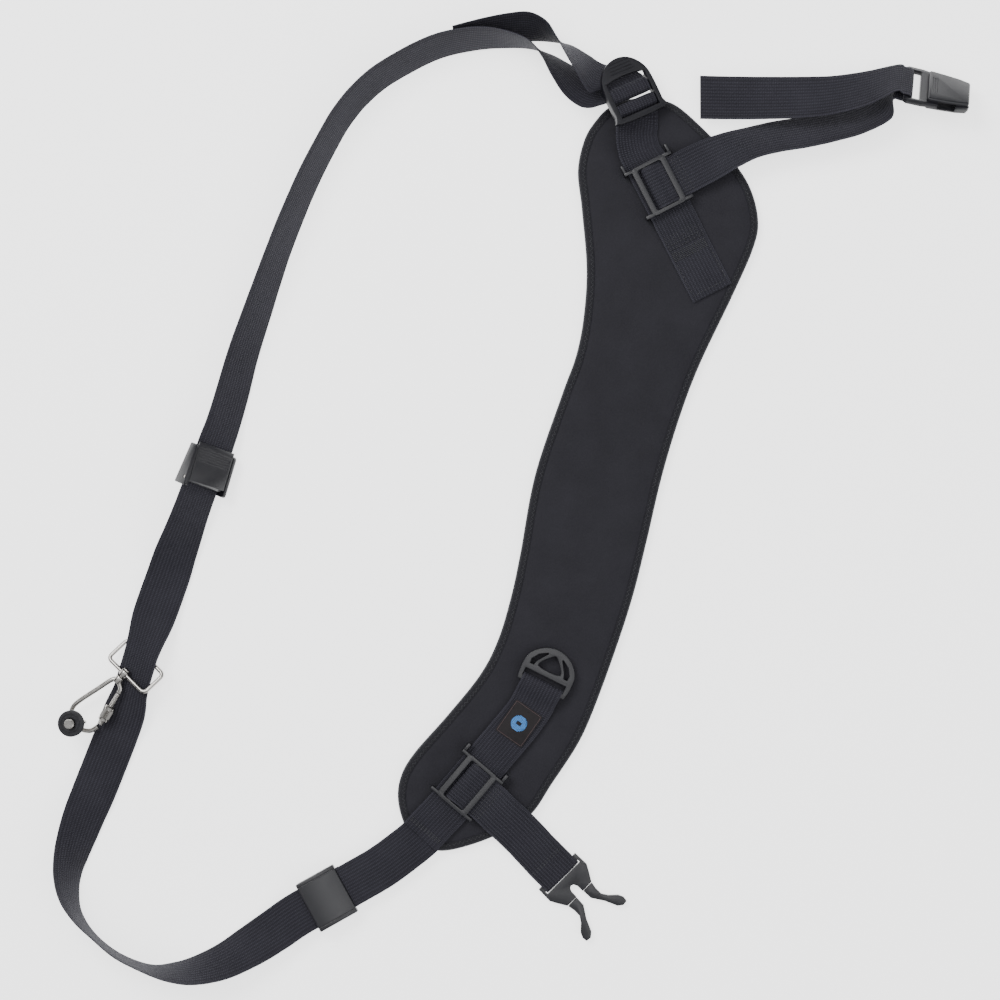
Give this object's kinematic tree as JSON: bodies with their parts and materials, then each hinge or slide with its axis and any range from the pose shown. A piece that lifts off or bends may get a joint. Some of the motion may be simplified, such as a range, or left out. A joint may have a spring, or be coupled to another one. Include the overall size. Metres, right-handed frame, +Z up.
{
  "type": "camera sling strap",
  "caption": "Curved padded shoulder sling with a webbing loop, strap adjuster, cam stoppers, a swivel carabiner carrying a camera screw, and an open underarm strap with a side-release buckle.",
  "frame": {"origin": "centre of the bounding box in X and Y, on the plane the strap lies on", "axes": "+Z up from the face the pad lies on, +Y along the strap towards the pad's ladder-lock end, +X towards the side the front underarm strap leaves by"},
  "size_m": [0.609, 0.6426, 0.0336],
  "materials": {
    "webbing": "woven black webbing",
    "neoprene": "black neoprene cloth",
    "mesh": "black mesh cloth",
    "foam": "closed-cell foam",
    "label": "woven label",
    "plastic": "moulded black plastic with a fine satin texture",
    "metal": "bright nickel-plated steel",
    "rubber": "dark grey rubber"
  },
  "bodies": {
    "pad": {"pad_foam_core": "foam", "pad_cover": "neoprene", "pad_mesh_lining": "mesh", "pad_edge_binding": "webbing", "upper_pad_webbing": "webbing", "lower_pad_webbing": "webbing", "label_patch": "label", "ladder_lock_buckle": "plastic", "main_strap": "webbing"},
    "front_slider": {"upper_cross_slider": "plastic", "front_underarm_strap": "webbing", "female_buckle": "plastic"},
    "rear_slider": {"lower_cross_slider": "plastic", "rear_underarm_strap": "webbing", "male_buckle_body": "plastic"},
    "left_prong": {"prong_left": "plastic"},
    "right_prong": {"prong_right": "plastic"},
    "ring": {"d_ring": "plastic"},
    "upper_cam": {"upper_cam_housing": "plastic", "upper_cam_pin": "metal"},
    "upper_lever": {"upper_cam_lever": "plastic"},
    "lower_cam": {"lower_cam_housing": "plastic", "lower_cam_pin": "metal"},
    "lower_lever": {"lower_cam_lever": "plastic"},
    "loop": {"strap_loop": "metal"},
    "carabiner": {"swivel_stud": "metal", "carabiner_body": "metal"},
    "gate": {"carabiner_gate": "metal"},
    "sleeve": {"gate_sleeve": "metal"},
    "screw": {"camera_screw": "metal", "rubber_washer": "rubber"}
  },
  "joints": [
    {"name": "front_slider_travel", "type": "slide", "parent": "pad", "child": "front_slider", "axis": [-0.4555, 0.8902, 0], "range_m": [-0.005, 0]},
    {"name": "rear_slider_travel", "type": "slide", "parent": "pad", "child": "rear_slider", "axis": [0.6468, 0.7627, 0], "range_m": [-0.004, 0.004]},
    {"name": "left_prong_flex", "type": "hinge", "parent": "rear_slider", "child": "left_prong", "pos_m": [0.04951, -0.25985, 0.0026], "axis": [0, 0, -1], "range_deg": [0, 4.5], "stiffness_Nm_per_rad": 0.6},
    {"name": "right_prong_flex", "type": "hinge", "parent": "rear_slider", "child": "right_prong", "pos_m": [0.03961, -0.26975, 0.0026], "axis": [0, 0, 1], "range_deg": [0, 4.5], "stiffness_Nm_per_rad": 0.6},
    {"name": "d_ring_swing", "type": "hinge", "parent": "pad", "child": "ring", "pos_m": [0.01851, -0.12495, 0.0103], "axis": [0.8957, -0.4446, 0], "range_deg": [0, 100]},
    {"name": "upper_cam_travel", "type": "slide", "parent": "pad", "child": "upper_cam", "axis": [0.3535, 0.9354, 0], "range_m": [-0.004, 0.004]},
    {"name": "upper_lever_turn", "type": "hinge", "parent": "upper_cam", "child": "upper_lever", "pos_m": [-0.20443, 0.01013, 0.01913], "axis": [0.6841, -0.2585, -0.682], "range_deg": [0, 95]},
    {"name": "lower_cam_travel", "type": "slide", "parent": "pad", "child": "lower_cam", "axis": [0.8729, 0.4879, 0], "range_m": [-0.004, 0.004]},
    {"name": "lower_lever_turn", "type": "hinge", "parent": "lower_cam", "child": "lower_lever", "pos_m": [-0.13167, -0.27077, 0.00461], "axis": [-0.4867, 0.8708, -0.0698], "range_deg": [0, 95]},
    {"name": "loop_travel", "type": "slide", "parent": "pad", "child": "loop", "axis": [0.2857, 0.9583, 0], "range_m": [-0.003, 0.001]},
    {"name": "carabiner_swivel", "type": "hinge", "parent": "loop", "child": "carabiner", "pos_m": [-0.25918, -0.1165, 0.01134], "axis": [-0.6791, -0.7291, -0.0849], "range_deg": [0, 70]},
    {"name": "gate_turn", "type": "hinge", "parent": "carabiner", "child": "gate", "pos_m": [-0.27584, -0.15081, 0.00823], "axis": [-0.0579, -0.0621, 0.9964], "range_deg": [0, 20], "stiffness_Nm_per_rad": 0.012},
    {"name": "sleeve_travel", "type": "slide", "parent": "gate", "child": "sleeve", "axis": [0.5194, 0.8505, 0.0832], "range_m": [0, 0.0075]},
    {"name": "screw_swing", "type": "hinge", "parent": "carabiner", "child": "screw", "pos_m": [-0.29407, -0.14867, 0.0073], "axis": [0, 1, 0], "range_deg": [-25, 35]}
  ]
}
